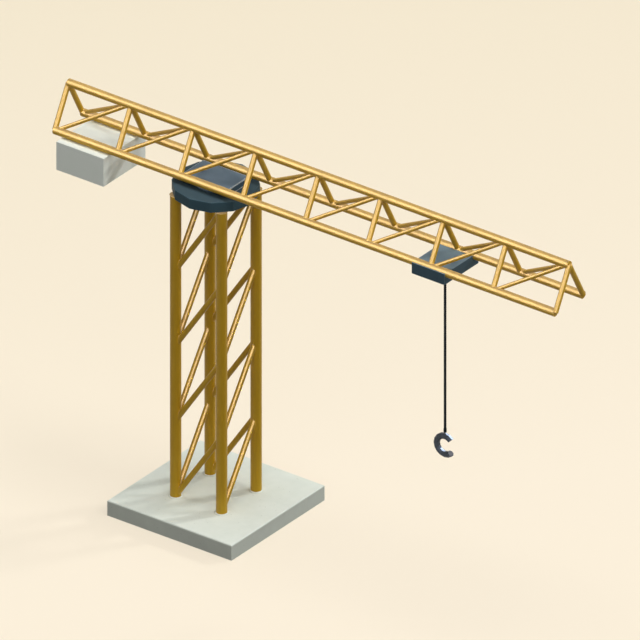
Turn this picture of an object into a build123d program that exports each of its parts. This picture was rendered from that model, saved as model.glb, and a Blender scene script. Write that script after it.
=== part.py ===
from build123d import *
import os
from math import asin, atan2, copysign, cos, hypot, sin, tan

# Tower crane: a braced mast on a concrete slab, a slewing lattice jib with its counterweight,
# and a trolley that carries a hook on a single rope.
# All sizes are in millimetres. The origin is the middle of the slab's underside, +Z is up,
# +X runs along the jib towards the hook, and the front of the crane faces -Y.

# Foundation slab
slab_side = 4320
slab_height = 480
slab_chamfer = 20

# Mast
leg_spacing = 1600
leg_diameter = 320
mast_height = 9600
mast_bays = 4
mast_brace_diameter = 160

# Mast head, a many-sided plate on the leg tops
head_corner_radius = 1240
head_corners = 12
head_height = 320
head_chamfer = 12

# Slewing ring, let into the mast head under the turret
ring_outer_diameter = 1200
ring_bore = 900
ring_height = 50
ring_recess = 35
slew_gap = 0.3

# Turret: a block between the bottom chords, with wings that cradle them from the inner side
turret_length = 1600
turret_width = 960
turret_foot_gap = 42
turret_chamfer = 12
turret_floor = 80
wing_reach = 100
wing_lift = 55
wing_height = 80

# Jib
jib_tail_reach = 5120
jib_bay_length = 2176
jib_bays = 8
jib_depth = 1230
chord_spacing = 1280
chord_diameter = 240
post_diameter = 160
diagonal_diameter = 120
diagonal_foot_gap = 40
apex_gap = 2
weld_gap = 0.5

# Counterweight, cast round the plates that hang it from the bottom chords
counterweight_inset = 1120
counterweight_length = 1650
counterweight_width = 1950
counterweight_height = 900
counterweight_chamfer = 8
hanger_spacing = 800
hanger_width = 200
hanger_thickness = 40
hanger_embedding = 300

# Trolley, which slides along the bottom chords
trolley_reach = 7970
trolley_length = 1140
trolley_drop = 320
trolley_wall = 30
trolley_foot_gap = 8
trolley_chamfer = 12
runner_gap = 0.5

# Hoist rope, with its guide under the trolley and its socket above the hook
rope_diameter = 80
rope_length = 5090
guide_diameter = 180
guide_height = 40
guide_gap = 6
socket_diameter = 92
socket_height = 120
socket_floor = 30
socket_cavity_height = 50
socket_chamfer = 8

# Hook, an open ring forged from many-sided bar, on a swivel neck
hook_ring_radius = 288
hook_bar_diameter = 192
hook_bar_corners = 8
hook_upper_tip_angle = 45
hook_arc = 270
hook_neck_diameter = 40
hook_neck_length = 30
hook_head_diameter = 60
swivel_gap = 1
swivel_seat_gap = 0.3

# Heights and half sizes that follow from the sizes above
leg_radius = leg_diameter / 2
leg_offset = leg_spacing / 2
mast_top = slab_height + mast_height
mast_bay_height = mast_height / mast_bays
head_top = mast_top + head_height
ring_bottom = head_top - ring_recess
turret_bottom = ring_bottom + ring_height + slew_gap
chord_radius = chord_diameter / 2
chord_offset = chord_spacing / 2
post_radius = post_diameter / 2
diagonal_radius = diagonal_diameter / 2
jib_height = turret_bottom + turret_floor + weld_gap + chord_radius
jib_top = jib_height + jib_depth
frame_places = [bay * jib_bay_length - jib_tail_reach for bay in range(jib_bays + 1)]
jib_start = frame_places[0]
jib_end = frame_places[-1]

# The sloping sides of the jib, and the lowest point of a post's foot above a bottom chord's axis
side_slope = atan2(jib_depth, chord_offset)
side_length = hypot(jib_depth, chord_offset)
post_foot_height = chord_radius * sin(side_slope - asin(post_radius / chord_radius))
diagonal_slope = atan2(side_length, jib_bay_length)
diagonal_emerges = (chord_radius - diagonal_radius * cos(diagonal_slope)) / tan(diagonal_slope)
diagonal_setback = (
    post_radius + diagonal_foot_gap + diagonal_radius * sin(diagonal_slope) - diagonal_emerges
)

turret_top = jib_height + post_foot_height - turret_foot_gap
wing_span = turret_width + 2 * wing_reach
counterweight_place = counterweight_inset - jib_tail_reach
counterweight_top = jib_height - chord_radius - weld_gap
trolley_top = jib_height + post_foot_height - trolley_foot_gap
trolley_bottom = jib_height - trolley_drop
trolley_width = chord_spacing + chord_diameter + 2 * (runner_gap + trolley_wall)
socket_top = trolley_bottom - rope_length
socket_bottom = socket_top - socket_height
hook_bar_radius = hook_bar_diameter / 2
hook_height = socket_bottom - hook_neck_length - hook_bar_radius - hook_ring_radius

chord_sides = {"front": -chord_offset, "rear": chord_offset}
standing = (Align.CENTER, Align.MIN)


def save(piece, name):
    """Label a finished piece and write its file."""
    piece.part.label = name
    export_step(piece.part, f"parts/{name}.step")


def round_bar(start, end, radius, cutters=()):
    """A round bar from one point to another, cut back to fit what it is welded to."""
    with BuildPart() as bar:
        with BuildSketch(Plane(origin=start, z_dir=end - start)):
            Circle(radius)
        extrude(amount=(end - start).length)
        for cutter in cutters:
            add(cutter, mode=Mode.SUBTRACT)
    return bar.part


def save_bars(name, bars):
    """Write like bars that don't touch as one piece."""
    with BuildPart() as piece:
        for bar in bars:
            add(bar)
    save(piece, name)


os.makedirs("parts", exist_ok=True)

# Foundation slab
with BuildPart() as slab:
    with BuildSketch():
        Rectangle(slab_side, slab_side)
    extrude(amount=slab_height)
    chamfer(slab.faces().sort_by(Axis.Z)[-1].edges(), length=slab_chamfer)
save(slab, "base_slab")

# Mast legs, named as seen from the front
leg_places = {
    "front_left": Vector(-leg_offset, -leg_offset, slab_height),
    "front_right": Vector(leg_offset, -leg_offset, slab_height),
    "rear_right": Vector(leg_offset, leg_offset, slab_height),
    "rear_left": Vector(-leg_offset, leg_offset, slab_height),
}
for place, foot in leg_places.items():
    with BuildPart() as leg:
        with BuildSketch(Plane(origin=foot)):
            Circle(leg_radius)
        extrude(amount=mast_height)
    save(leg, f"mast_leg_{place}")

# Mast bracing: one rising bar in each bay of each face, from its first leg to its second
mast_faces = {
    "front": ("front_left", "front_right"),
    "right": ("front_right", "rear_right"),
    "rear": ("rear_left", "rear_right"),
    "left": ("front_left", "rear_left"),
}
below_the_leg = Vector(0, 0, -leg_diameter)
above_the_leg = Vector(0, 0, mast_height + leg_diameter)
for face, (low_leg, high_leg) in mast_faces.items():
    feet = [leg_places[low_leg], leg_places[high_leg]]
    leg_cutters = [
        round_bar(foot + below_the_leg, foot + above_the_leg, leg_radius + weld_gap) for foot in feet
    ]
    braces = []
    for bay in range(mast_bays):
        low_end = feet[0] + Vector(0, 0, bay * mast_bay_height)
        high_end = feet[1] + Vector(0, 0, (bay + 1) * mast_bay_height)
        braces.append(round_bar(low_end, high_end, mast_brace_diameter / 2, leg_cutters))
    save_bars(f"mast_bracing_{face}", braces)

# Mast head, with a corner on the jib's line at rest and a recess for the slewing ring
with BuildPart() as head:
    with BuildSketch(Plane.XY.offset(mast_top)):
        RegularPolygon(head_corner_radius, head_corners)
    extrude(amount=head_height)
    chamfer(head.faces().sort_by(Axis.Z)[-1].edges(), length=head_chamfer)
    chamfer(head.faces().sort_by(Axis.Z)[0].edges(), length=head_chamfer)
    with BuildSketch(Plane.XY.offset(head_top)):
        Circle(ring_outer_diameter / 2 + weld_gap)
    extrude(amount=-ring_recess, mode=Mode.SUBTRACT)
save(head, "mast_head")

# Slewing ring
with BuildPart() as ring:
    with BuildSketch(Plane.XY.offset(ring_bottom)):
        Circle(ring_outer_diameter / 2)
        Circle(ring_bore / 2, mode=Mode.SUBTRACT)
    extrude(amount=ring_height)
save(ring, "slewing_ring")

# Turret, with a wing under each bottom chord
with BuildPart() as turret:
    with BuildSketch(Plane.YZ):
        with Locations((0, turret_bottom)):
            Rectangle(turret_width, turret_top - turret_bottom, align=standing)
        with Locations((0, turret_bottom + wing_lift)):
            Rectangle(wing_span, wing_height, align=standing)
        with Locations(*[(side, jib_height) for side in chord_sides.values()]):
            Circle(chord_radius + weld_gap, mode=Mode.SUBTRACT)
    extrude(amount=turret_length / 2, both=True)
    chamfer(turret.faces().sort_by(Axis.Z)[-1].edges(), length=turret_chamfer)
save(turret, "turret")

# Jib chords
chord_lines = {
    f"bottom_chord_{name}": (Vector(jib_start, side, jib_height), Vector(jib_end, side, jib_height))
    for name, side in chord_sides.items()
}
chord_lines["top_chord"] = (Vector(jib_start, 0, jib_top), Vector(jib_end, 0, jib_top))
for name, (start, end) in chord_lines.items():
    with BuildPart() as chord:
        with BuildSketch(Plane(origin=start, z_dir=end - start)):
            Circle(chord_radius)
        extrude(amount=(end - start).length)
    save(chord, f"jib_{name}")

# What the jib's bars are cut back to on each side: the chords, and the jib's middle. The chords end at the
# middle of the end posts, whose outer halves run on past the chords' ends.
past_the_end = Vector(weld_gap, 0, 0)
chord_cutters = {
    name: round_bar(start - past_the_end, end + past_the_end, chord_radius + weld_gap)
    for name, (start, end) in chord_lines.items()
}
side_cutters = {}
for name, side in chord_sides.items():
    middle = Vector((jib_start + jib_end) / 2, copysign(apex_gap / 2, side), jib_height)
    with BuildPart() as other_half:
        with BuildSketch(Plane(origin=middle, x_dir=(1, 0, 0), z_dir=(0, -side, 0))):
            Rectangle(jib_end - jib_start + 2 * post_diameter, 2 * jib_depth)
        extrude(amount=chord_offset)
    side_cutters[name] = [chord_cutters[f"bottom_chord_{name}"], chord_cutters["top_chord"], other_half.part]

# Jib frames: a pair of posts that lean together under the top chord
for number, place in enumerate(frame_places, start=1):
    posts = [
        round_bar(
            Vector(place, side, jib_height), Vector(place, 0, jib_top), post_radius, side_cutters[name]
        )
        for name, side in chord_sides.items()
    ]
    save_bars(f"jib_frame_{number}", posts)

# Jib diagonals: a pair in each bay, from the foot of one frame to the head of the next
for number, (near, far) in enumerate(zip(frame_places, frame_places[1:]), start=1):
    diagonals = [
        round_bar(
            Vector(near + diagonal_setback, side, jib_height),
            Vector(far - diagonal_setback, 0, jib_top),
            diagonal_radius,
            side_cutters[name],
        )
        for name, side in chord_sides.items()
    ]
    save_bars(f"jib_diagonals_{number}", diagonals)

# Counterweight block under the tail, with a pocket for each of its hangers
hanger_bottom = counterweight_top - hanger_embedding
hanger_places = [
    (counterweight_place + shift, side)
    for shift in (-hanger_spacing / 2, hanger_spacing / 2)
    for side in chord_sides.values()
]
with BuildPart() as counterweight:
    with BuildSketch(Plane.XY.offset(counterweight_top)):
        with Locations((counterweight_place, 0)):
            Rectangle(counterweight_length, counterweight_width)
    extrude(amount=-counterweight_height)
    chamfer(counterweight.edges(), length=counterweight_chamfer)
    with BuildSketch(Plane.XY.offset(counterweight_top)):
        with Locations(*hanger_places):
            Rectangle(hanger_width + 2 * weld_gap, hanger_thickness + 2 * weld_gap)
    extrude(amount=-hanger_embedding - weld_gap, mode=Mode.SUBTRACT)
save(counterweight, "counterweight")

# Counterweight hangers: plates under the bottom chords, welded to them and cast into the block
with BuildPart() as hangers:
    for place, side in hanger_places:
        with BuildSketch(Plane.YZ.offset(place)):
            with Locations((side, hanger_bottom)):
                Rectangle(hanger_thickness, jib_height - hanger_bottom, align=standing)
            with Locations((side, jib_height)):
                Circle(chord_radius + weld_gap, mode=Mode.SUBTRACT)
        extrude(amount=hanger_width / 2, both=True)
save(hangers, "counterweight_hangers")

# Trolley, with a groove for each bottom chord that closes round a little more than half of it
with BuildPart() as trolley:
    with BuildSketch(Plane.YZ.offset(trolley_reach)):
        with Locations((0, trolley_bottom)):
            Rectangle(trolley_width, trolley_top - trolley_bottom, align=standing)
        with Locations(*[(side, jib_height) for side in chord_sides.values()]):
            Circle(chord_radius + runner_gap, mode=Mode.SUBTRACT)
    extrude(amount=trolley_length / 2, both=True)
    chamfer(trolley.faces().sort_by(Axis.Z)[0].edges(), length=trolley_chamfer)
save(trolley, "trolley")

# Rope guide under the trolley
rope_axis = Vector(trolley_reach, 0, 0)
with BuildPart() as guide:
    with BuildSketch(Plane(origin=rope_axis).offset(trolley_bottom)):
        Circle(guide_diameter / 2)
        Circle(rope_diameter / 2 + guide_gap, mode=Mode.SUBTRACT)
    extrude(amount=-guide_height)
save(guide, "rope_guide")

# Hoist rope
with BuildPart() as rope:
    with BuildSketch(Plane(origin=rope_axis).offset(trolley_bottom)):
        Circle(rope_diameter / 2)
    extrude(amount=-rope_length)
save(rope, "hoist_rope")

# Rope socket, hollow for the head of the hook's neck
cavity_bottom = socket_bottom + socket_floor
with BuildPart() as socket:
    with BuildSketch(Plane(origin=rope_axis).offset(socket_bottom)):
        Circle(socket_diameter / 2)
    extrude(amount=socket_height)
    chamfer(socket.edges().filter_by(GeomType.CIRCLE), length=socket_chamfer)
    with BuildSketch(Plane(origin=rope_axis).offset(socket_bottom)):
        Circle(hook_neck_diameter / 2 + swivel_gap)
    extrude(amount=socket_floor, mode=Mode.SUBTRACT)
    with BuildSketch(Plane(origin=rope_axis).offset(cavity_bottom)):
        Circle(hook_head_diameter / 2 + swivel_gap)
    extrude(amount=socket_cavity_height, mode=Mode.SUBTRACT)
save(socket, "rope_socket")

# Hook: the open ring from its upper tip round to its lower tip, with the neck that turns in the socket
hook_centre = rope_axis + Vector(0, 0, hook_height)
hook_axis = Axis(hook_centre, (0, -1, 0))
tip_direction = Vector(1, 0, 0).rotate(hook_axis, hook_upper_tip_angle)
tip_tangent = Vector(0, 0, 1).rotate(hook_axis, hook_upper_tip_angle)
head_seat = cavity_bottom + swivel_seat_gap
head_roof = cavity_bottom + socket_cavity_height - swivel_gap
with BuildPart() as hook:
    with BuildSketch(Plane(origin=hook_centre, x_dir=tip_direction, z_dir=tip_tangent)):
        with Locations((hook_ring_radius, 0)):
            RegularPolygon(hook_bar_radius, hook_bar_corners)
    revolve(axis=hook_axis, revolution_arc=hook_arc)
    with BuildSketch(Plane(origin=rope_axis).offset(hook_height + hook_ring_radius)):
        Circle(hook_neck_diameter / 2)
    extrude(amount=head_roof - hook_height - hook_ring_radius)
    with BuildSketch(Plane(origin=rope_axis).offset(head_seat)):
        Circle(hook_head_diameter / 2)
    extrude(amount=head_roof - head_seat)
save(hook, "hook")
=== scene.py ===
"""Tower crane: the finishes, the small dressed pieces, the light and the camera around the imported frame.

Every place is in metres in the frame's own axes: +Z up the mast, +X along the jib towards the hook.
"""

import logging
import math
from collections.abc import Iterable
from dataclasses import dataclass
from enum import Enum, IntEnum

import bmesh
import bpy
from mathutils import Matrix, Vector


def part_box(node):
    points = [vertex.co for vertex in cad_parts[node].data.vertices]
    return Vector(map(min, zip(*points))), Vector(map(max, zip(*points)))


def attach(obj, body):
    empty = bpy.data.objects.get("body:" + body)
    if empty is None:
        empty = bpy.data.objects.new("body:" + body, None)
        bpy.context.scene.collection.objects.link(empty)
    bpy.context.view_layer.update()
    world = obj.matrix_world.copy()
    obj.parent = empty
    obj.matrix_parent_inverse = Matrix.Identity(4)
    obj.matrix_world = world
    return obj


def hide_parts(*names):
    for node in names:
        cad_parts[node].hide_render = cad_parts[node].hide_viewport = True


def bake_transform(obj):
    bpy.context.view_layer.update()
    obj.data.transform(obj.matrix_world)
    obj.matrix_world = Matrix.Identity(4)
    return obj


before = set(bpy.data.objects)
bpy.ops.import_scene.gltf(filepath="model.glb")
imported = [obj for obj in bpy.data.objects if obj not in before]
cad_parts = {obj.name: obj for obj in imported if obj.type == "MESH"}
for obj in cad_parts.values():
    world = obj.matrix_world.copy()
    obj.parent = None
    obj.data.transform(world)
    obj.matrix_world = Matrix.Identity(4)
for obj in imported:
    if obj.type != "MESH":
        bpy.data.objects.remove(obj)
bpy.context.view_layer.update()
log = logging.getLogger("tower_crane")

UP = Vector((0, 0, 1))
ALONG_JIB = Vector((1, 0, 0))
# Socket numbers of a Mix node that mixes colours
MIX_A, MIX_B, MIX_RESULT = 6, 7, 2
MM_PER_METRE = 1000
# How alike the rounded and the true normal are where a flat ends and where an edge is fully worn
FLAT_LIKENESS = 0.995
EDGE_LIKENESS = 0.85
EDGE_SAMPLES = 6


class Body(Enum):
    """Bodies of the frame that pieces ride on."""

    TOWER = "tower"
    JIB = "jib"
    TROLLEY = "trolley"
    SWIVEL = "hook_swivel"
    HOOK = "hook"


class Slot(Enum):
    """Material slots of the record."""

    YELLOW = "yellow_paint"
    CONCRETE = "cast_concrete"
    SLATE = "slate_paint"
    TEAL = "teal_paint"
    BEARING = "bearing_steel"
    ROPE = "wire_rope"
    FORGED = "forged_steel"


class Throw(Enum):
    """What a light shows: whole surfaces with shadows, or only the sheen on them without any."""

    FULL = "full"
    SHEEN = "sheen"


class Axis(IntEnum):
    """Axes of the frame by their places in a vector."""

    X = 0
    Y = 1
    Z = 2


class Shading(Enum):
    """How a new piece's faces take the light."""

    FLAT = "flat"
    SMOOTH = "smooth"


def linear(code: str) -> tuple[float, float, float, float]:
    """Turn an sRGB hex colour into linear light.

    Args:
        code: Six hex digits.

    Returns:
        Red, green, blue and an alpha of 1.
    """
    shares = [int(code[start:start + 2], 16) / 255 for start in (0, 2, 4)]
    red, green, blue = [s / 12.92 if s <= 0.04045 else ((s + 0.055) / 1.055) ** 2.4 for s in shares]
    return red, green, blue, 1.0


def per_metre(size_mm: float) -> float:
    """Scale of a pattern whose features lie that many millimetres apart."""
    return MM_PER_METRE / size_mm


def add_node(
    tree: bpy.types.NodeTree, kind: str, inputs: dict[str | int, object] | None = None, **settings: object
) -> bpy.types.Node:
    """Add a node with its settings, its input values and its incoming links.

    Args:
        tree: Node tree that takes the node.
        kind: Blender's name for the kind of node.
        inputs: Values, or sockets to link from, by the name or number of the input.
        **settings: Properties of the node itself.

    Returns:
        The new node.
    """
    node = tree.nodes.new(kind)
    for name, value in settings.items():
        setattr(node, name, value)
    for name, value in (inputs or {}).items():
        if isinstance(value, bpy.types.NodeSocket):
            tree.links.new(value, node.inputs[name])
        else:
            node.inputs[name].default_value = value
    return node


def edge_strips(tree: bpy.types.NodeTree, width_mm: float) -> bpy.types.NodeSocket:
    """Mask of the strips along a piece's sharp edges, where handling and weather wear it first and where the
    plates' paint takes a painted highlight.

    Args:
        tree: Node tree that takes the nodes.
        width_mm: How far the strips reach from an edge.

    Returns:
        Socket that is 1 on the edges and 0 on the flats.
    """
    rounded = add_node(tree, "ShaderNodeBevel", {"Radius": width_mm / MM_PER_METRE}, samples=EDGE_SAMPLES)
    flat = add_node(tree, "ShaderNodeNewGeometry")
    likeness = add_node(
        tree, "ShaderNodeVectorMath", {0: rounded.outputs["Normal"], 1: flat.outputs["Normal"]},
        operation="DOT_PRODUCT",
    )
    mask = add_node(
        tree, "ShaderNodeMapRange",
        {"Value": likeness.outputs["Value"], "From Min": FLAT_LIKENESS, "From Max": EDGE_LIKENESS},
    )
    return mask.outputs["Result"]


def lay_over(
    tree: bpy.types.NodeTree,
    under: bpy.types.NodeSocket | tuple[float, ...],
    colour: str,
    mask: bpy.types.NodeSocket,
    limits: tuple[float, float] = (0.0, 1.0),
    cover: float = 1.0,
) -> bpy.types.NodeSocket:
    """Lay a colour over what is under it where a mask is strong.

    Args:
        tree: Node tree that takes the nodes.
        under: Colour under it, as a value or a socket.
        colour: The colour as sRGB hex.
        mask: Socket of the mask.
        limits: Where in the mask the colour starts and where it is full.
        cover: How far a full colour covers what is under it.

    Returns:
        Socket of the mixed colour.
    """
    start, full = limits
    share = add_node(
        tree, "ShaderNodeMapRange", {"Value": mask, "From Min": start, "From Max": full, "To Max": cover}
    )
    mixed = add_node(
        tree, "ShaderNodeMix", {"Factor": share.outputs["Result"], MIX_A: under, MIX_B: linear(colour)},
        data_type="RGBA",
    )
    return mixed.outputs[MIX_RESULT]


@dataclass(frozen=True)
class Finish:
    """A surface finish, made once as a procedural material.

    Attributes:
        name: Name of the material, for what it is and how it was made.
        slot: Record slot that pieces with this finish take.
        colour: Main colour as sRGB hex.
        roughness: Roughness in the middle of its range.
    """

    name: str
    slot: Slot
    colour: str
    roughness: float

    def material(self) -> bpy.types.Material:
        """Return this finish's material, made the first time."""
        return bpy.data.materials.get(self.name) or self.make()

    def make(self) -> bpy.types.Material:
        """Make the material: one Principled shader with this finish's pattern on Object coordinates.

        Returns:
            The new material.
        """
        made = bpy.data.materials.new(self.name)
        made.use_nodes = True
        tree = made.node_tree
        tree.nodes.clear()
        place = add_node(tree, "ShaderNodeTexCoord").outputs["Object"]
        inputs = self.pattern(tree, place)
        shader = add_node(tree, "ShaderNodeBsdfPrincipled", inputs)
        add_node(tree, "ShaderNodeOutputMaterial", {"Surface": shader.outputs["BSDF"]})
        return made

    def pattern(self, tree: bpy.types.NodeTree, place: bpy.types.NodeSocket) -> dict[str | int, object]:
        """Inputs of the shader, as values and sockets; each kind of finish has its own."""
        raise NotImplementedError


@dataclass(frozen=True)
class PaintedSteel(Finish):
    """Paint sprayed on steel: clouded by sun, with faint rain runs, dust and painted light and shade on top,
    and edges with wear and a painted highlight.

    Attributes:
        faded: Colour of the sun-bleached clouds.
        grime: Colour of the rain runs.
        settled: Colour of the dust on faces that look up, which also paints their light and shade: darker
            tops on the tubes, paler tops on the plates.
        edge_wear_and_highlight: Colour of the edges: wear on the tubes, a painted highlight on the plates.
        gloss: Specular level of the paint.
        cloud_mm: Size of the bleached clouds.
        run_mm: Width of a rain run.
        run_stretch: Length of a rain run in widths.
        peel_mm: Spacing of the sprayed film's orange peel, drawn coarser than real so that it shows.
        peel_height_mm: Height of the orange peel.
        edge_mm: Width of the worn and highlighted edges.
        edge_share: How far the edges take their colour.
        dust_dulling: Roughness that a full coat of dust adds.
        gloss_tint: Colour of its highlights.
    """

    faded: str
    grime: str
    settled: str
    edge_wear_and_highlight: str
    gloss: float
    cloud_mm: float = 900
    run_mm: float = 70
    run_stretch: float = 14
    peel_mm: float = 45
    peel_height_mm: float = 0.5
    edge_mm: float = 24
    edge_share: float = 0.5
    dust_dulling: float = 0.3
    gloss_tint: str = "FFFFFF"

    # Where in its noise a pattern starts and is full, and how far it covers the paint there
    CLOUD_LIMITS = (0.4, 0.7)
    CLOUD_COVER = 0.35
    RUN_LIMITS = (0.52, 0.78)
    RUN_COVER = 0.3
    # Upward part of a face's normal from which the dust and its painted light and shade lie on it, and from
    # which they lie fully
    DUST_START = 0.7
    DUST_FULL = 0.95
    # Middle of the clouds' range, which thins the dust and moves the roughness to both sides
    MIDDLE_START = 0.3
    MIDDLE_END = 0.7
    THINNEST_DUST = 0.6
    SMOOTHER = 0.06
    ROUGHER = 0.08

    def pattern(self, tree: bpy.types.NodeTree, place: bpy.types.NodeSocket) -> dict[str | int, object]:
        """Bleached clouds, then rain runs, dust with painted light and shade on the tops, and edges with
        wear and a painted highlight, over an orange-peel bump.

        Args:
            tree: The material's node tree.
            place: Object coordinates.

        Returns:
            Inputs of the Principled shader.
        """
        clouds = add_node(
            tree, "ShaderNodeTexNoise",
            {"Vector": place, "Scale": per_metre(self.cloud_mm), "Detail": 5.0, "Roughness": 0.6},
        ).outputs["Fac"]
        bleached = lay_over(
            tree, linear(self.colour), self.faded, clouds, self.CLOUD_LIMITS, self.CLOUD_COVER
        )
        across = per_metre(self.run_mm)
        drawn_out = add_node(
            tree, "ShaderNodeMapping",
            {"Vector": place, "Scale": (across, across, across / self.run_stretch)},
        )
        runs = add_node(
            tree, "ShaderNodeTexNoise", {"Vector": drawn_out.outputs["Vector"], "Scale": 1.0, "Detail": 3.0}
        ).outputs["Fac"]
        streaked = lay_over(tree, bleached, self.grime, runs, self.RUN_LIMITS, self.RUN_COVER)
        # Dust on the faces that look up; its colour also paints the tops' shade on the tubes and their light
        # on the plates
        normal = add_node(tree, "ShaderNodeNewGeometry").outputs["Normal"]
        facing = add_node(tree, "ShaderNodeSeparateXYZ", {"Vector": normal})
        upward = add_node(
            tree, "ShaderNodeMapRange",
            {"Value": facing.outputs["Z"], "From Min": self.DUST_START, "From Max": self.DUST_FULL},
        )
        middle = {"Value": clouds, "From Min": self.MIDDLE_START, "From Max": self.MIDDLE_END}
        patchy = add_node(tree, "ShaderNodeMapRange", {**middle, "To Min": self.THINNEST_DUST})
        dust_and_painted_light = add_node(
            tree, "ShaderNodeMath", {0: upward.outputs["Result"], 1: patchy.outputs["Result"]},
            operation="MULTIPLY",
        ).outputs["Value"]
        dusted_and_painted = lay_over(tree, streaked, self.settled, dust_and_painted_light)
        # Edges: wear on the tubes, a painted highlight on the plates
        coloured = lay_over(tree, dusted_and_painted, self.edge_wear_and_highlight, edge_strips(tree, self.edge_mm), cover=self.edge_share)
        dulled = add_node(
            tree, "ShaderNodeMapRange",
            {**middle, "To Min": self.roughness - self.SMOOTHER, "To Max": self.roughness + self.ROUGHER},
        )
        matted = add_node(
            tree, "ShaderNodeMath", {0: dust_and_painted_light, 1: self.dust_dulling, 2: dulled.outputs["Result"]},
            operation="MULTIPLY_ADD", use_clamp=True,
        )
        peel = add_node(
            tree, "ShaderNodeTexNoise", {"Vector": place, "Scale": per_metre(self.peel_mm), "Detail": 2.0}
        )
        bump = add_node(
            tree, "ShaderNodeBump",
            {
                "Height": peel.outputs["Fac"], "Strength": 0.5,
                "Distance": self.peel_height_mm / MM_PER_METRE,
            },
        )
        return {
            "Base Color": coloured,
            "Roughness": matted.outputs["Value"],
            "Normal": bump.outputs["Normal"],
            "Specular IOR Level": self.gloss,
            "Specular Tint": linear(self.gloss_tint),
        }


@dataclass(frozen=True)
class CastConcrete(Finish):
    """Concrete cast in a form: soft grey clouds, sandy grit, small air holes with painted shade in them,
    pale edges, and painted shade darkening the sides.

    Attributes:
        pale: Colour of the paste that dried first, on clouds and edges.
        painted_shade: Colour of the painted shade on the sides and in the air holes.
        cloud_mm: Size of the clouds.
        grit_mm: Spacing of the grit, drawn coarser than sand so that it shows.
        hole_mm: Spacing of the air holes.
        edge_mm: Width of the pale edges.
        shade_height_mm: Height that the painted shade on the sides reaches above the ground.
        shade_fade_mm: Height over which the painted shade fades out at its top.
        shade_share: How far the painted shade darkens the concrete.
        relief_mm: Height of the surface's relief.
    """

    pale: str
    painted_shade: str
    cloud_mm: float = 850
    grit_mm: float = 40
    hole_mm: float = 190
    edge_mm: float = 40
    shade_height_mm: float = 170
    shade_fade_mm: float = 170
    shade_share: float = 0.9
    relief_mm: float = 2.5

    # Where in their noise the clouds start and are full, and how far clouds, grit, edges and holes cover
    CLOUD_START = 0.35
    CLOUD_FULL = 0.68
    CLOUD_COVER = 0.55
    GRIT_COVER = 0.22
    EDGE_COVER = 0.4
    HOLE_COVER = 0.35
    # How far from its middle an air hole is open and where its rim ends, in spacings
    HOLE_OPEN = 0.05
    HOLE_RIM = 0.1
    ROUGHNESS_SPREAD = 0.1
    GLOSS = 0.1

    def pattern(self, tree: bpy.types.NodeTree, place: bpy.types.NodeSocket) -> dict[str | int, object]:
        """Clouds and grit, then pale edges, and painted shade on the sides and in the air holes.

        Args:
            tree: The material's node tree.
            place: Object coordinates.

        Returns:
            Inputs of the Principled shader.
        """
        clouds = add_node(
            tree, "ShaderNodeTexNoise",
            {"Vector": place, "Scale": per_metre(self.cloud_mm), "Detail": 8.0, "Roughness": 0.62},
        ).outputs["Fac"]
        grit = add_node(
            tree, "ShaderNodeTexNoise", {"Vector": place, "Scale": per_metre(self.grit_mm), "Detail": 3.0}
        ).outputs["Fac"]
        cloud_share = add_node(
            tree, "ShaderNodeMapRange",
            {
                "Value": clouds, "From Min": self.CLOUD_START, "From Max": self.CLOUD_FULL,
                "To Max": self.CLOUD_COVER,
            },
        )
        sandy = add_node(
            tree, "ShaderNodeMath", {0: grit, 1: self.GRIT_COVER, 2: cloud_share.outputs["Result"]},
            operation="MULTIPLY_ADD",
        )
        edged = add_node(
            tree, "ShaderNodeMath",
            {0: edge_strips(tree, self.edge_mm), 1: self.EDGE_COVER, 2: sandy.outputs["Value"]},
            operation="MULTIPLY_ADD", use_clamp=True,
        )
        dried = lay_over(tree, linear(self.colour), self.pale, edged.outputs["Value"])
        # Painted shade on the sides, full up to a height and fading out above it
        height = add_node(tree, "ShaderNodeSeparateXYZ", {"Vector": place})
        low = add_node(
            tree, "ShaderNodeMapRange",
            {
                "Value": height.outputs["Z"], "From Min": (self.shade_height_mm - self.shade_fade_mm) / MM_PER_METRE,
                "From Max": self.shade_height_mm / MM_PER_METRE, "To Min": self.shade_share, "To Max": 0.0,
            },
        )
        side_shade = add_node(tree, "ShaderNodeMath", {0: low.outputs["Result"], 1: clouds}, operation="MULTIPLY")
        side_shaded = lay_over(tree, dried, self.painted_shade, side_shade.outputs["Value"])
        # Air holes, darkened with painted shade in their hollows
        cells = add_node(tree, "ShaderNodeTexVoronoi", {"Vector": place, "Scale": per_metre(self.hole_mm)})
        holes = add_node(
            tree, "ShaderNodeMapRange",
            {
                "Value": cells.outputs["Distance"], "From Min": self.HOLE_OPEN, "From Max": self.HOLE_RIM,
                "To Min": 1.0, "To Max": 0.0,
            },
        ).outputs["Result"]
        pitted = lay_over(tree, side_shaded, self.painted_shade, holes, cover=self.HOLE_COVER)
        relief = add_node(tree, "ShaderNodeMath", {0: grit, 1: holes}, operation="SUBTRACT")
        bump = add_node(
            tree, "ShaderNodeBump",
            {"Height": relief.outputs["Value"], "Strength": 0.6, "Distance": self.relief_mm / MM_PER_METRE},
        )
        dulled = add_node(
            tree, "ShaderNodeMapRange",
            {
                "Value": clouds, "To Min": self.roughness - self.ROUGHNESS_SPREAD,
                "To Max": self.roughness + self.ROUGHNESS_SPREAD,
            },
        )
        return {
            "Base Color": pitted,
            "Roughness": dulled.outputs["Result"],
            "Normal": bump.outputs["Normal"],
            "Specular IOR Level": self.GLOSS,
        }


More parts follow.
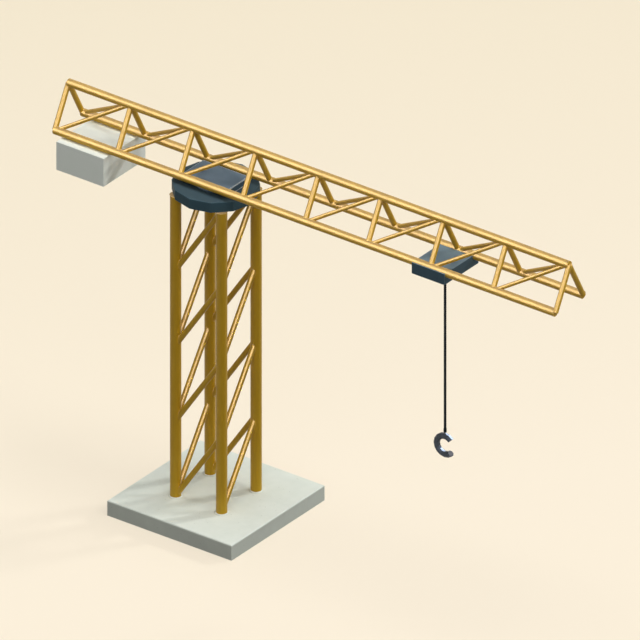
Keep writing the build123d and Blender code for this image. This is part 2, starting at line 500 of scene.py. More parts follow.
@dataclass(frozen=True)
class BareSteel(Finish):
    """Bare steel: tool marks that run one way under clouds of scale or grease, with bright edges.

    Attributes:
        film: Colour of the scale or grease.
        bright: Colour of the rubbed edges.
        film_share: How far the clouds cover the steel.
        cloud_mm: Size of the clouds.
        marks_mm: Spacing of the tool marks along X, Y and Z.
        marks_height_mm: Height of the tool marks.
        edge_mm: Width of the bright edges.
        metallic: Metallic value, lower under thick grease.
        gloss: Specular level of the grease.
    """

    film: str
    bright: str
    film_share: float
    cloud_mm: float
    marks_mm: tuple[float, float, float]
    marks_height_mm: float
    edge_mm: float = 8
    metallic: float = 1.0
    gloss: float = 0.5

    # Where in its noise the film starts and is full, and how far the tool marks move the roughness
    FILM_LIMITS = (0.4, 0.65)
    SMOOTHER = 0.08
    ROUGHER = 0.12

    def pattern(self, tree: bpy.types.NodeTree, place: bpy.types.NodeSocket) -> dict[str | int, object]:
        """Clouds of film, bright edges and tool marks.

        Args:
            tree: The material's node tree.
            place: Object coordinates.

        Returns:
            Inputs of the Principled shader.
        """
        clouds = add_node(
            tree, "ShaderNodeTexNoise", {"Vector": place, "Scale": per_metre(self.cloud_mm), "Detail": 4.0}
        ).outputs["Fac"]
        filmed = lay_over(tree, linear(self.colour), self.film, clouds, self.FILM_LIMITS, self.film_share)
        rubbed = lay_over(tree, filmed, self.bright, edge_strips(tree, self.edge_mm))
        spaced = add_node(
            tree, "ShaderNodeMapping",
            {"Vector": place, "Scale": [per_metre(spacing) for spacing in self.marks_mm]},
        )
        marks = add_node(
            tree, "ShaderNodeTexNoise", {"Vector": spaced.outputs["Vector"], "Scale": 1.0, "Detail": 2.0}
        ).outputs["Fac"]
        dulled = add_node(
            tree, "ShaderNodeMapRange",
            {
                "Value": marks, "To Min": self.roughness - self.SMOOTHER,
                "To Max": self.roughness + self.ROUGHER,
            },
        )
        bump = add_node(
            tree, "ShaderNodeBump",
            {"Height": marks, "Strength": 0.5, "Distance": self.marks_height_mm / MM_PER_METRE},
        )
        return {
            "Base Color": rubbed,
            "Roughness": dulled.outputs["Result"],
            "Normal": bump.outputs["Normal"],
            "Metallic": self.metallic,
            "Specular IOR Level": self.gloss,
        }


# Two-pack satin paint on drawn tube: deep mustard with long pale highlights, and brown dust along the tops
# that also paints shade on them.
YELLOW_TUBE = PaintedSteel(
    "satin_yellow_paint_on_drawn_tube", Slot.YELLOW, "B69018", 0.4,
    faded="BE9A2C", grime="8E6C14", settled="755A0E", edge_wear_and_highlight="CCA848", edge_share=0.25,
    gloss=0.4, gloss_tint="FFDAB0",
)
# Matt slate paint on folded plate: a dark blue-grey under pale dust that also paints light on the tops,
# nearly black where it faces the ground, with a painted highlight along the edges.
SLATE_PLATE = PaintedSteel(
    "matt_slate_paint_on_folded_plate", Slot.SLATE, "445A68", 0.5,
    faded="4E6472", grime="3C4F5C", settled="7A8E99", edge_wear_and_highlight="7E8D98", edge_share=0.4, gloss=0.06,
)
# The same paint on the turret, with a painted highlight along its edges: a thin white line, and painted
# light on its top.
EDGE_HIGHLIGHT_PLATE = PaintedSteel(
    "matt_slate_paint_with_painted_edge_highlight", Slot.SLATE, "445A68", 0.5,
    faded="4E6472", grime="3C4F5C", settled="6D7D8B", edge_wear_and_highlight="F4F9FC", edge_mm=50, edge_share=1.0, gloss=0.06,
)
# Semi-gloss dark teal paint on thick plate: nearly black at the rim, with a painted highlight as a thin pale
# edge and a little painted light on its top.
TEAL_PLATE = PaintedSteel(
    "semigloss_teal_paint_on_plate", Slot.TEAL, "3A525D", 0.5,
    faded="455E68", grime="364852", settled="475962", edge_wear_and_highlight="647E88", edge_mm=40, gloss=0.05,
)
# Cast concrete, trowelled on top: an uneven matt pale grey with a green cast, with painted shade darkening
# its sides and its air holes.
CONCRETE = CastConcrete(
    "cast_concrete_trowelled", Slot.CONCRETE, "DBE2D7", 0.82, pale="EAEFE6", painted_shade="93978C",
    shade_height_mm=470, shade_fade_mm=60, shade_share=0.6,
)
# White precast concrete from a smooth steel form: paler than the slab and more even.
PRECAST = CastConcrete(
    "white_precast_concrete", Slot.CONCRETE, "F2FAF2", 0.78, pale="F7FCF7", painted_shade="D4D9CF", grit_mm=30,
)
# Steel turned on a lathe and oiled: fine rings with soft dark reflections.
TURNED_STEEL = BareSteel(
    "turned_oiled_steel", Slot.BEARING, "4A5056", 0.34, film="2A2E31", bright="8A9298",
    film_share=0.6, cloud_mm=120, marks_mm=(400, 400, 6), marks_height_mm=0.3,
)
# Greased steel wire laid into strands: almost black, with a dull sheen on the strands.
GREASED_WIRE = BareSteel(
    "greased_steel_wire", Slot.ROPE, "1E282C", 0.5, film="141B1E", bright="263236",
    film_share=0.7, cloud_mm=60, marks_mm=(5, 5, 40), marks_height_mm=0.4, metallic=0.0, gloss=0.04,
)
# Forged steel, oil-blackened and ground on its flats: dark blue facets that flash white towards the light.
FORGED_STEEL = BareSteel(
    "forged_blackened_steel", Slot.FORGED, "434B59", 0.32, film="2F363F", bright="76818E",
    film_share=0.5, cloud_mm=90, marks_mm=(60, 12, 60), marks_height_mm=0.25, edge_mm=10,
)
# Forged steel left as sawn across the hook's tips: dull grey, without the flash of the ground flats.
SAWN_STEEL = BareSteel(
    "forged_sawn_steel", Slot.FORGED, "36373B", 0.62, film="2A2B2F", bright="4A4C50",
    film_share=0.5, cloud_mm=40, marks_mm=(14, 90, 14), marks_height_mm=0.4, edge_mm=10,
)
# Hot-dip zinc on rolled bolts: pale grey with a dull spangle.
ZINC_BOLT = BareSteel(
    "hot_dip_zinc_on_bolt", Slot.BEARING, "9CA3A6", 0.42, film="7A8286", bright="B8BEC0",
    film_share=0.5, cloud_mm=12, marks_mm=(6, 6, 6), marks_height_mm=0.1, edge_mm=2,
)


def sweep(mesh: bmesh.types.BMesh, section: list[bmesh.types.BMVert], **turn: object) -> None:
    """Sweep a section round an axis.

    Args:
        mesh: Mesh that holds the section.
        section: Corners of the section, which take their edges along.
        **turn: How it turns, as bmesh's spin takes it.
    """
    edges = {edge for corner in section for edge in corner.link_edges}
    bmesh.ops.spin(mesh, geom=section + list(edges), **turn)


def add_ring(
    mesh: bmesh.types.BMesh, profile: Iterable[tuple[float, float]], centre: Vector, steps: int
) -> None:
    """Turn a closed profile about an upright axis.

    Args:
        mesh: Mesh that takes the ring.
        profile: Corners of the profile as radius and height.
        centre: Point on the axis at height 0 of the profile.
        steps: Steps of the full turn.
    """
    corners = [mesh.verts.new(centre + Vector((radius, 0, height))) for radius, height in profile]
    for pair in zip(corners, corners[1:] + corners[:1]):
        mesh.edges.new(pair)
    sweep(mesh, corners, cent=centre, axis=UP, angle=math.tau, steps=steps, use_merge=True)


@dataclass(frozen=True)
class BarFoot:
    """Where a round bar is welded to a round tube.

    Attributes:
        origin: Where the bar's axis leaves the tube's axis.
        along: Unit vector along the bar, away from the tube.
        bar_radius: Radius of the bar.
        tube: Unit vector along the tube.
        tube_radius: Radius of the tube.
        ground_share: How far the bead's lower toe is ground away, for what runs close under it.
    """

    origin: Vector
    along: Vector
    bar_radius: float
    tube: Vector
    tube_radius: float
    ground_share: float = 0.0

    BEAD_RADIUS = 0.009
    BEAD_SIDES = 6
    BEAD_STEPS = 24

    def reach(self, around: Vector) -> float:
        """Distance along the bar from the tube's axis to the tube's surface.

        Args:
            around: Offset of the line from the bar's axis.

        Returns:
            Distance from the origin's level to the surface.
        """
        rise = self.along - self.along.dot(self.tube) * self.tube
        offset = around - around.dot(self.tube) * self.tube
        half = rise.dot(offset)
        rest = offset.length_squared - self.tube_radius ** 2
        square = rise.length_squared
        return (math.sqrt(max(half ** 2 - square * rest, 0.0)) - half) / square

    def add_bead(self, mesh: bmesh.types.BMesh) -> None:
        """Add the weld bead: a ring round the bar, let down onto the tube's surface.

        Args:
            mesh: Mesh that takes the bead.
        """
        older = set(mesh.verts)
        upright = Matrix.Translation((self.bar_radius, 0, 0)) @ Matrix.Rotation(math.pi / 2, 4, "X")
        section = bmesh.ops.create_circle(
            mesh, segments=self.BEAD_SIDES, radius=self.BEAD_RADIUS, matrix=upright
        )["verts"]
        sweep(mesh, section, axis=UP, angle=math.tau, steps=self.BEAD_STEPS, use_merge=True)
        turn = self.along.to_track_quat("Z", "Y").to_matrix()
        for corner in mesh.verts:
            if corner not in older:
                outward = Vector((corner.co.x, corner.co.y, 0)).normalized()
                middle = outward * self.bar_radius
                lower_toe = max(0.0, -(turn @ outward).z)
                fullness = 1 - self.ground_share * lower_toe
                settled = middle + (corner.co - middle) * fullness
                settled.z += self.reach(turn @ middle)
                corner.co = self.origin + turn @ settled


@dataclass(frozen=True)
class HexBolt:
    """A hexagon-head bolt with its washer.

    Attributes:
        across_flats: Width of the head.
        head_height: Height of the head.
    """

    across_flats: float
    head_height: float

    WASHER_SIDES = 16
    HEAD_SIDES = 6
    # Shares of the head's corner radius: the washer, and the flat inside the head's chamfer
    WASHER_REACH = 1.35
    FLAT_REACH = 0.8
    # Shares of the head's height: the top of the washer, and where the chamfer starts
    WASHER_TOP = 0.2
    CHAMFER_START = 0.9

    def add_to(self, mesh: bmesh.types.BMesh, seat: Vector, up: Vector) -> None:
        """Add the head and the washer.

        Args:
            mesh: Mesh that takes the bolt.
            seat: Middle of the washer's underside.
            up: Unit vector from the seat to the head.
        """
        corner_radius = self.across_flats / math.sqrt(3)
        turn = up.to_track_quat("Z", "Y").to_matrix().to_4x4()
        # Sides, shares of the corner radius below and above, and shares of the height where each stage lies
        stages = (
            (self.WASHER_SIDES, self.WASHER_REACH, self.WASHER_REACH, 0, self.WASHER_TOP),
            (self.HEAD_SIDES, 1, 1, self.WASHER_TOP, self.CHAMFER_START),
            (self.HEAD_SIDES, 1, self.FLAT_REACH, self.CHAMFER_START, 1),
        )
        for sides, lower, upper, start, end in stages:
            middle = Matrix.Translation((0, 0, self.head_height * (start + end) / 2))
            bmesh.ops.create_cone(
                mesh, cap_ends=True, segments=sides, radius1=corner_radius * lower,
                radius2=corner_radius * upper, depth=self.head_height * (end - start),
                matrix=Matrix.Translation(seat) @ turn @ middle,
            )


class SubAssembly:
    """A group of the crane's pieces on one body."""

    body: Body

    def build(self) -> None:
        """Make the new pieces and give every piece its finish."""
        raise NotImplementedError

    def dress(self, finish: Finish, *nodes: str) -> None:
        """Give CAD nodes a finish.

        Args:
            finish: The finish.
            *nodes: Names of the nodes.
        """
        for name in nodes:
            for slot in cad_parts[name].material_slots:
                slot.material = finish.material()
            log.info("%s on %s: %s", name, self.body.value, finish.name)

    def add_piece(
        self, name: str, mesh: bmesh.types.BMesh, finish: Finish, shading: Shading
    ) -> bpy.types.Object:
        """Turn a finished mesh into a piece with its finish, not yet on a body.

        Args:
            name: Name of the piece.
            mesh: The mesh in the frame's axes; it is used up.
            finish: The piece's finish.
            shading: How its faces take the light.

        Returns:
            The new piece.
        """
        bmesh.ops.recalc_face_normals(mesh, faces=mesh.faces)
        data = bpy.data.meshes.new(name)
        mesh.to_mesh(data)
        mesh.free()
        if shading is Shading.SMOOTH:
            data.shade_smooth()
        else:
            data.shade_flat()
        data.materials.append(finish.material())
        piece = bpy.data.objects.new(name, data)
        bpy.context.scene.collection.objects.link(piece)
        log.info("%s on %s: %s, %d faces", name, self.body.value, finish.name, len(data.polygons))
        return piece


def axis_of(node: str, axis: Axis) -> tuple[Vector, Vector, float]:
    """Axis of a round bar that runs along X, Y or Z.

    Args:
        node: Name of the bar's node.
        axis: Axis of the frame that it runs along.

    Returns:
        The two ends of its axis and its radius.
    """
    low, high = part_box(node)
    start = (low + high) / 2
    end = start.copy()
    start[axis], end[axis] = low[axis], high[axis]
    across = (axis + 1) % len(Axis)
    return start, end, (high[across] - low[across]) / 2


@dataclass
class Foundation(SubAssembly):
    """The concrete slab, with a grout fillet round each leg's foot.

    Attributes:
        fillet_reach: How far a fillet reaches out from its leg.
        fillet_height: How high a fillet climbs its leg.
    """

    fillet_reach: float = 0.045
    fillet_height: float = 0.035
    body: Body = Body.TOWER

    STEPS = 48
    # Corners of a fillet's profile, as shares of its reach from the leg's surface and of its height
    PROFILE = ((-0.25, 0), (1, 0), (0.45, 0.22), (0.15, 0.55), (-0.25, 1))

    def build(self) -> None:
        """Dress the slab and cast the fillets."""
        self.dress(CONCRETE, "base_slab")
        mesh = bmesh.new()
        for node in Mast.LEGS:
            foot, _, radius = axis_of(node, Axis.Z)
            profile = [
                (radius + self.fillet_reach * out, self.fillet_height * rise) for out, rise in self.PROFILE
            ]
            add_ring(mesh, profile, foot, self.STEPS)
        fillets = self.add_piece("leg_grout_fillets", mesh, CONCRETE, Shading.SMOOTH)
        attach(fillets, self.body.value)


@dataclass
class Mast(SubAssembly):
    """Four legs with a rising brace in each bay of each face, and the head plate and slewing ring on top.

    Attributes:
        bays: Bays in each face.
        brace_radius: Radius of a brace.
        head_bead: Size of the weld bead under the head.
    """

    bays: int = 4
    brace_radius: float = 0.08
    head_bead: float = 0.016
    body: Body = Body.TOWER

    LEGS = ("mast_leg_front_left", "mast_leg_front_right", "mast_leg_rear_right", "mast_leg_rear_left")
    # The leg that each face's braces start from and the leg that they rise to, by their places in LEGS
    FACES = {"front": (0, 1), "right": (1, 2), "rear": (3, 2), "left": (0, 3)}
    BRACES = tuple(f"mast_bracing_{face}" for face in FACES)
    BEAD_STEPS = 48
    # Corners of the bead under the head, as shares of its size out from the leg and down from the leg's top
    BEAD_PROFILE = ((-0.5, 0), (-0.5, 1.5), (0.6, 0.6), (1, 0))

    def feet(self) -> Iterable[BarFoot]:
        """Find both welded ends of every brace.

        Returns:
            The ends, one at a time.
        """
        legs = [axis_of(node, Axis.Z) for node in self.LEGS]
        for low_leg, high_leg in self.FACES.values():
            low_foot, low_top, radius = legs[low_leg]
            bay = (low_top - low_foot) / self.bays
            rise = (legs[high_leg][0] - low_foot + bay).normalized()
            for number in range(self.bays):
                yield BarFoot(low_foot + bay * number, rise, self.brace_radius, UP, radius)
                high_end = legs[high_leg][0] + bay * (number + 1)
                yield BarFoot(high_end, -rise, self.brace_radius, UP, radius)

    def build(self) -> None:
        """Dress the mast and lay its weld beads."""
        self.dress(YELLOW_TUBE, *self.LEGS, *self.BRACES)
        self.dress(TEAL_PLATE, "mast_head")
        self.dress(TURNED_STEEL, "slewing_ring")
        mesh = bmesh.new()
        for foot in self.feet():
            foot.add_bead(mesh)
        for node in self.LEGS:
            _, top, radius = axis_of(node, Axis.Z)
            profile = [
                (radius + self.head_bead * out, -self.head_bead * down) for out, down in self.BEAD_PROFILE
            ]
            add_ring(mesh, profile, top, self.BEAD_STEPS)
        welds = self.add_piece("mast_weld_beads", mesh, YELLOW_TUBE, Shading.SMOOTH)
        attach(welds, self.body.value)


@dataclass
class Jib(SubAssembly):
    """The turret and the triangular lattice jib.

    Attributes:
        post_radius: Radius of a frame's posts.
        diagonal_radius: Radius of the diagonals.
        diagonal_foot_gap: Room between a post's foot and the diagonal beside it.
        toe_ground_share: How far the beads' lower toes are ground away for the trolley.
        end_margin: How far the beads stay inside the chords' ends.
    """

    post_radius: float = 0.08
    diagonal_radius: float = 0.06
    diagonal_foot_gap: float = 0.04
    toe_ground_share: float = 1.5
    end_margin: float = 0.001
    body: Body = Body.JIB

    TOP_CHORD = "jib_top_chord"
    BOTTOM_CHORDS = ("jib_bottom_chord_front", "jib_bottom_chord_rear")
    BAYS = 8
    FRAMES = tuple(f"jib_frame_{number}" for number in range(1, BAYS + 2))
    DIAGONALS = tuple(f"jib_diagonals_{number}" for number in range(1, BAYS + 1))

    def setback(self, bay: float, side: float, chord_radius: float) -> float:
        """Distance along the chord from a frame to where the next diagonal's axis starts.

        Args:
            bay: Length of a bay.
            side: Distance between the bottom and the top chord's axes.
            chord_radius: Radius of the chords.

        Returns:
            The distance, which leaves the foot gap open between the two bars.
        """
        slope = math.atan2(side, bay)
        emerges = (chord_radius - self.diagonal_radius * math.cos(slope)) / math.tan(slope)
        half_foot = self.diagonal_radius * math.sin(slope)
        return self.post_radius + self.diagonal_foot_gap + half_foot - emerges

    def feet(self) -> Iterable[BarFoot]:
        """Find both welded ends of every post and diagonal.

        Returns:
            The ends, one at a time.
        """
        top, _, radius = axis_of(self.TOP_CHORD, Axis.X)
        places = [sum(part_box(node), Vector()).x / 2 for node in self.FRAMES]
        for chord in self.BOTTOM_CHORDS:
            bottom = axis_of(chord, Axis.X)[0]
            setback = self.setback(places[1] - places[0], (top - bottom).yz.length, radius)
            bars = [(place, place, self.post_radius) for place in places]
            bars += [
                (near + setback, far - setback, self.diagonal_radius)
                for near, far in zip(places, places[1:])
            ]
            for low_place, high_place, bar_radius in bars:
                low = Vector((low_place, *bottom.yz))
                high = Vector((high_place, *top.yz))
                rise = (high - low).normalized()
                yield BarFoot(low, rise, bar_radius, ALONG_JIB, radius, self.toe_ground_share)
                yield BarFoot(high, -rise, bar_radius, ALONG_JIB, radius)

    def build(self) -> None:
        """Dress the jib and lay its weld beads, cut flush at the chords' ends."""
        self.dress(EDGE_HIGHLIGHT_PLATE, "turret")
        self.dress(YELLOW_TUBE, self.TOP_CHORD, *self.BOTTOM_CHORDS, *self.FRAMES, *self.DIAGONALS)
        mesh = bmesh.new()
        for foot in self.feet():
            foot.add_bead(mesh)
        start, end, _ = axis_of(self.TOP_CHORD, Axis.X)
        for tip, outward in ((start, -ALONG_JIB), (end, ALONG_JIB)):
            bmesh.ops.bisect_plane(
                mesh, geom=mesh.verts[:] + mesh.edges[:] + mesh.faces[:],
                plane_co=tip - outward * self.end_margin, plane_no=outward, clear_outer=True,
            )
        bmesh.ops.holes_fill(mesh, edges=mesh.edges)
        welds = self.add_piece("jib_weld_beads", mesh, YELLOW_TUBE, Shading.SMOOTH)
        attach(welds, self.body.value)


@dataclass
class Counterweight(SubAssembly):
    """The concrete block under the tail, with the plates that are cast into it and hang it."""

    body: Body = Body.JIB

    def build(self) -> None:
        """Dress the block and its hangers."""
        self.dress(PRECAST, "counterweight")
        self.dress(YELLOW_TUBE, "counterweight_hangers")


@dataclass
class Trolley(SubAssembly):
    """The box that runs under the jib, with its bolted rope guide.

    Attributes:
        bolt: Bolt of the rope guide.
        bolt_count: Bolts round the guide.
        bolt_circle: Radius that they stand on.
    """

    bolt: HexBolt = HexBolt(across_flats=0.019, head_height=0.010)
    bolt_count: int = 6
    bolt_circle: float = 0.068
    body: Body = Body.TROLLEY

    def build(self) -> None:
        """Dress the box and its guide, and bolt the guide up."""
        self.dress(SLATE_PLATE, "trolley")
        self.dress(TURNED_STEEL, "rope_guide")
        low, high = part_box("rope_guide")
        mesh = bmesh.new()
        for number in range(self.bolt_count):
            angle = math.tau * number / self.bolt_count
            seat = Vector(((low.x + high.x) / 2, 0, low.z))
            seat += self.bolt_circle * Vector((math.cos(angle), math.sin(angle), 0))
            self.bolt.add_to(mesh, seat, -UP)
        bolts = self.add_piece("guide_bolts", mesh, ZINC_BOLT, Shading.FLAT)
        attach(bolts, self.body.value)


@dataclass
class HoistRope(SubAssembly):
    """The wire rope from the trolley to the hook, laid from strands.

    It is made in a few lengths, laid end to end from the rope's top to its bottom.

    Attributes:
        strands: Strands in the rope.
        lay_length: Length of one full turn of a strand.
        joins: Where the lengths meet, as shares of the rope from its top.
    """

    strands: int = 6
    lay_length: float = 0.42
    joins: tuple[float, ...] = (0.0, 0.1, 0.3, 0.7, 0.9, 1.0)
    body: Body = Body.TROLLEY

    STRAND_SIDES = 8
    STEPS_PER_LAY = 24

    def follow(self, share: float) -> float:
        """How far into a smooth step its value is this share."""
        return 0.5 - math.sin(math.asin(1 - 2 * share) / 3)

    def add_length(
        self, mesh: bmesh.types.BMesh, top: Vector, bottom: Vector, turned: float, radius: float
    ) -> None:
        """Lay the strands of one length.

        Args:
            mesh: Mesh that takes them.
            top: Upper end of the length's axis.
            bottom: Lower end of the length's axis.
            turned: Angle that the strands have turned before it.
            radius: Radius of the rope.
        """
        laid_radius = radius / (1 + math.sin(math.pi / self.strands))
        length = (top - bottom).length
        turn = math.tau * length / self.lay_length
        steps = math.ceil(self.STEPS_PER_LAY * length / self.lay_length)
        sections = []
        for number in range(self.strands):
            angle = turned + math.tau * number / self.strands
            place = Matrix.Translation(top) @ Matrix.Rotation(angle, 4, "Z")
            place @= Matrix.Translation((laid_radius, 0, 0))
            sections += bmesh.ops.create_circle(
                mesh, segments=self.STRAND_SIDES, radius=radius - laid_radius, matrix=place
            )["verts"]
        sweep(mesh, sections, cent=top, axis=UP, dvec=(bottom - top) / steps, angle=turn, steps=steps)
        bmesh.ops.holes_fill(mesh, edges=mesh.edges, sides=self.STRAND_SIDES)

    def build(self) -> None:
        """Lay the rope length by length in the frame's axes, in place of the CAD rope."""
        bottom, top, radius = axis_of("hoist_rope", Axis.Z)
        drop = bottom - top
        for number, (near, far) in enumerate(zip(self.joins, self.joins[1:]), start=1):
            mesh = bmesh.new()
            turned = math.tau * near * drop.length / self.lay_length
            self.add_length(mesh, top + drop * near, top + drop * far, turned, radius)
            rope = self.add_piece(f"hoist_rope_length_{number}", mesh, GREASED_WIRE, Shading.SMOOTH)
            pace = (far - near) / (self.follow(far) - self.follow(near))
            start = near - self.follow(near) * pace
            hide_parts("hoist_rope")
            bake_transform(rope)


@dataclass
class Swivel(SubAssembly):
    """The socket that the rope ends in and the hook turns in."""

    body: Body = Body.SWIVEL

    def build(self) -> None:
        """Dress the socket."""
        self.dress(GREASED_WIRE, "rope_socket")


@dataclass
class Hook(SubAssembly):
    """The open forged hook with flat facets, on its neck.

    Attributes:
        ring_radius: Radius of the bar's middle line.
        bar_radius: Radius to the corners of the bar's section.
        facets: Flats along the ring.
        upper_tip: Angle of the upper tip above the jib's line, in degrees.
        arc: Angle from the upper tip round to the lower one, in degrees.
        neck_radius: Radius of the neck.
        edge: Width of the ground edges.
    """

    ring_radius: float = 0.288
    bar_radius: float = 0.096
    facets: int = 12
    upper_tip: float = 45
    arc: float = 270
    neck_radius: float = 0.02
    edge: float = 0.005
    body: Body = Body.HOOK

    BAR_SIDES = 8
    NECK_SIDES = 24
    # Place of the sawn finish among the hook's materials
    SAWN_PLACE = 1

    def build(self) -> None:
        """Turn the ring, cap its tips, grind its edges and set it on its neck."""
        low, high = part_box("hook")
        rope_end = axis_of("hoist_rope", Axis.Z)[0]
        centre = Vector((rope_end.x, rope_end.y, low.z + self.ring_radius + self.bar_radius))
        towards_front = Vector((0, -1, 0))
        place = Matrix.Translation(centre) @ Matrix.Rotation(math.radians(self.upper_tip), 4, towards_front)
        place @= Matrix.Translation((self.ring_radius, 0, 0))
        place @= Matrix.Rotation(math.pi / self.BAR_SIDES, 4, "Z")
        mesh = bmesh.new()
        tip = bmesh.ops.create_circle(
            mesh, segments=self.BAR_SIDES, radius=self.bar_radius, matrix=place
        )["verts"]
        sweep(mesh, tip, cent=centre, axis=towards_front, angle=math.radians(self.arc), steps=self.facets)
        for sawn in bmesh.ops.holes_fill(mesh, edges=mesh.edges, sides=self.BAR_SIDES)["faces"]:
            sawn.material_index = self.SAWN_PLACE
        bmesh.ops.bevel(
            mesh, geom=mesh.edges[:], offset=self.edge, offset_type="OFFSET", segments=2, profile=0.5,
            affect="EDGES", material=-1,
        )
        neck_start = centre.z + self.ring_radius
        bmesh.ops.create_cone(
            mesh, cap_ends=True, segments=self.NECK_SIDES, radius1=self.neck_radius,
            radius2=self.neck_radius, depth=high.z - neck_start,
            matrix=Matrix.Translation((centre.x, centre.y, (high.z + neck_start) / 2)),
        )
        hook = self.add_piece("forged_hook", mesh, FORGED_STEEL, Shading.FLAT)
        hook.data.materials.append(SAWN_STEEL.material())
        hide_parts("hook")
        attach(hook, self.body.value)


@dataclass(frozen=True)
class SoftLight:
    """A far, wide studio light.

    Attributes:
        name: Name of the light.
        towards: Direction from the crane to the light.
        share: Share of a full light, which shows a colour as it is written.
        width: Width of the light as seen from the crane, in degrees.
        throw: What it shows.
        spares: Pieces that it doesn't reach.
    """

    name: str
    towards: tuple[float, float, float]
    share: float
    width: float
    throw: Throw = Throw.FULL
    spares: tuple[str, ...] = ()

    def build(self) -> None:
        """Hang the light."""
        data = bpy.data.lights.new(self.name, "SUN")
        data.energy = self.share * math.pi
        data.angle = math.radians(self.width)
        data.use_shadow = self.throw is Throw.FULL
        light = bpy.data.objects.new(self.name, data)
        light.rotation_mode = "QUATERNION"
        light.rotation_quaternion = Vector(self.towards).to_track_quat("Z", "Y")
        light.visible_diffuse = self.throw is Throw.FULL
        bpy.context.scene.collection.objects.link(light)
        if self.spares:
            spared = bpy.data.collections.new(f"{self.name}_spares")
            for name in self.spares:
                spared.objects.link(bpy.data.objects[name])
            for member in spared.collection_objects:
                member.light_linking.link_state = "EXCLUDE"
            light.light_linking.receiver_collection = spared


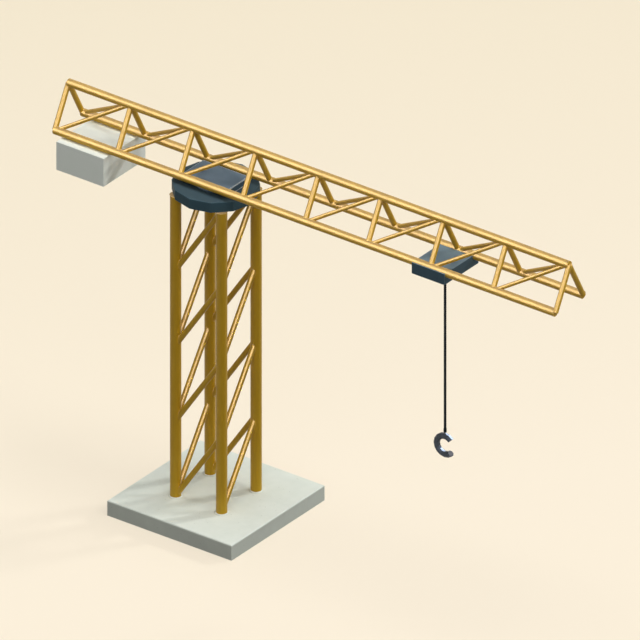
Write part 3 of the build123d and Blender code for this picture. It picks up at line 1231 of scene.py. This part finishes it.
@dataclass
class Studio:
    """The pale floor, the soft light and the camera.

    Attributes:
        cream: Colour of the floor and the backdrop.
        shaded_far_cream: Colour of the floor at the far left, a painted shade.
        far_reach: How far away the floor has that colour.
        bounce: Colour that the floor throws back on the crane.
        sky_share: Share of a full light that comes evenly from the whole sky.
        floor_side: Side of the floor.
        floor_glow: Share of the floor's colour that doesn't take a shadow.
        azimuth: Camera's angle round the crane from its front, in degrees.
        elevation: Camera's angle above the horizon, in degrees.
        picture_side: Side of the picture, in pixels.
        picture_span: Side of the picture, in metres at the crane.
        slab_pixel: Where the middle of the slab's top is in the picture.
        camera_distance: Distance from the camera to the crane.
    """

    cream: str = "FBEFDA"
    shaded_far_cream: str = "F3E7CE"
    far_reach: float = 30
    bounce: str = "6A655C"
    sky_share: float = 0.23
    floor_side: float = 600
    floor_glow: float = 0.6
    azimuth: float = 36.84
    elevation: float = 29.16
    picture_side: float = 640
    picture_span: float = 17.81
    slab_pixel: tuple[float, float] = (215.9, 492.8)
    camera_distance: float = 60

    # Direction in which the floor takes its painted shade
    FAR_LEFT = (-0.75, 0.65, 0)
    FLAT_PIECES = ("base_slab", "leg_grout_fillets", "mast_head", "turret", "counterweight", "trolley")
    HANGING_PIECES = ("rope_socket", "forged_hook")
    WHITE = "FFFFFF"
    LIGHTS = (
        SoftLight("overhead_light", (0, 0, 1), 0.38, 30),
        SoftLight("front_light", (0.42, -0.78, 0.46), 0.16, 60),
        SoftLight("right_light", (0.62, 0.05, 0.78), 0.22, 25),
        SoftLight("rear_light", (0.46, 0.71, 0.53), 0.33, 7),
        # Large reflectors draw the long highlights on the tubes and the bright flats of the hook. Flags
        # keep them off the flat pieces, the first two also off the hook, the left one off the mast's braces
        # and the front one off its legs.
        SoftLight(
            "left_reflector", (-0.52, -0.60, 0.60), 6.0, 60, Throw.SHEEN,
            FLAT_PIECES + HANGING_PIECES + Mast.BRACES,
        ),
        SoftLight(
            "front_reflector", (0.55, -0.64, 0.53), 6.0, 60, Throw.SHEEN,
            FLAT_PIECES + HANGING_PIECES + Mast.LEGS,
        ),
        SoftLight("rear_reflector", (0.08, 0.70, 0.71), 3.0, 50, Throw.SHEEN, FLAT_PIECES),
    )

    def seen(self, tree: bpy.types.NodeTree) -> bpy.types.NodeSocket:
        """Mask of the rays that show the backdrop: straight to the camera, by gloss or through glass.

        Args:
            tree: Node tree that takes the nodes.

        Returns:
            Socket that is 1 for those rays and 0 for the rest.
        """
        path = add_node(tree, "ShaderNodeLightPath")
        mask = path.outputs["Is Camera Ray"]
        for kind in ("Is Glossy Ray", "Is Transmission Ray"):
            mask = add_node(
                tree, "ShaderNodeMath", {0: mask, 1: path.outputs[kind]}, operation="ADD", use_clamp=True
            ).outputs["Value"]
        return mask

    def build_floor(self) -> None:
        """Lay the floor: cream where it is seen, with painted shade towards the far left, and darker where
        it lights the crane from below.
        """
        made = bpy.data.materials.new("cream_studio_floor")
        made.use_nodes = True
        tree = made.node_tree
        tree.nodes.clear()
        place = add_node(tree, "ShaderNodeTexCoord").outputs["Object"]
        away = add_node(tree, "ShaderNodeVectorMath", {0: place, 1: self.FAR_LEFT}, operation="DOT_PRODUCT")
        limits = (0.0, self.far_reach)
        shade = lay_over(tree, linear(self.cream), self.shaded_far_cream, away.outputs["Value"], limits)
        lit = add_node(tree, "ShaderNodeBsdfDiffuse", {"Color": shade})
        glow = add_node(tree, "ShaderNodeEmission", {"Color": shade, "Strength": 1.0})
        shown = add_node(
            tree, "ShaderNodeMixShader",
            {"Fac": self.floor_glow, 1: lit.outputs["BSDF"], 2: glow.outputs["Emission"]},
        )
        thrown = add_node(tree, "ShaderNodeBsdfDiffuse", {"Color": linear(self.bounce)})
        surface = add_node(
            tree, "ShaderNodeMixShader",
            {"Fac": self.seen(tree), 1: thrown.outputs["BSDF"], 2: shown.outputs["Shader"]},
        )
        add_node(tree, "ShaderNodeOutputMaterial", {"Surface": surface.outputs["Shader"]})
        mesh = bmesh.new()
        bmesh.ops.create_grid(mesh, x_segments=1, y_segments=1, size=self.floor_side / 2)
        data = bpy.data.meshes.new("studio_floor")
        mesh.to_mesh(data)
        mesh.free()
        data.materials.append(made)
        floor = bpy.data.objects.new("studio_floor", data)
        bpy.context.scene.collection.objects.link(floor)

    def build_sky(self) -> None:
        """Make the even sky, which shows as the cream backdrop."""
        world = bpy.data.worlds.new("studio_sky")
        world.use_nodes = True
        tree = world.node_tree
        tree.nodes.clear()
        even = add_node(
            tree, "ShaderNodeBackground", {"Color": linear(self.WHITE), "Strength": self.sky_share}
        )
        backdrop = add_node(tree, "ShaderNodeBackground", {"Color": linear(self.cream), "Strength": 1.0})
        surface = add_node(
            tree, "ShaderNodeMixShader",
            {"Fac": self.seen(tree), 1: even.outputs["Background"], 2: backdrop.outputs["Background"]},
        )
        add_node(tree, "ShaderNodeOutputWorld", {"Surface": surface.outputs["Shader"]})
        bpy.context.scene.world = world

    def build_camera(self) -> None:
        """Set up the camera: a parallel view that puts the slab where the picture has it."""
        turn, tilt = math.radians(self.azimuth), math.radians(self.elevation)
        back = Vector((math.sin(turn) * math.cos(tilt), -math.cos(turn) * math.cos(tilt), math.sin(tilt)))
        right = Vector((math.cos(turn), math.sin(turn), 0))
        upward = back.cross(right)
        low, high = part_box("base_slab")
        slab_top = Vector(((low.x + high.x) / 2, (low.y + high.y) / 2, high.z))
        pixel = self.picture_span / self.picture_side
        middle = self.picture_side / 2
        target = slab_top + right * (middle - self.slab_pixel[0]) * pixel
        target += upward * (self.slab_pixel[1] - middle) * pixel
        data = bpy.data.cameras.new("studio_camera")
        data.type = "ORTHO"
        data.ortho_scale = self.picture_span
        camera = bpy.data.objects.new("studio_camera", data)
        camera.location = target + back * self.camera_distance
        camera.rotation_mode = "QUATERNION"
        camera.rotation_quaternion = back.to_track_quat("Z", "Y")
        bpy.context.scene.collection.objects.link(camera)
        bpy.context.scene.camera = camera

    def build(self) -> None:
        """Build the whole studio."""
        bpy.context.scene.view_settings.view_transform = "Standard"
        self.build_floor()
        self.build_sky()
        for light in self.LIGHTS:
            light.build()
        self.build_camera()


def main() -> None:
    """Build the crane's sub-assemblies from the ground up, then the studio."""
    logging.basicConfig(level=logging.INFO, format="%(name)s: %(message)s")
    crane = (Foundation(), Mast(), Jib(), Counterweight(), Trolley(), HoistRope(), Swivel(), Hook())
    for assembly in crane:
        assembly.build()
    Studio().build()


if __name__ == "__main__":
    main()
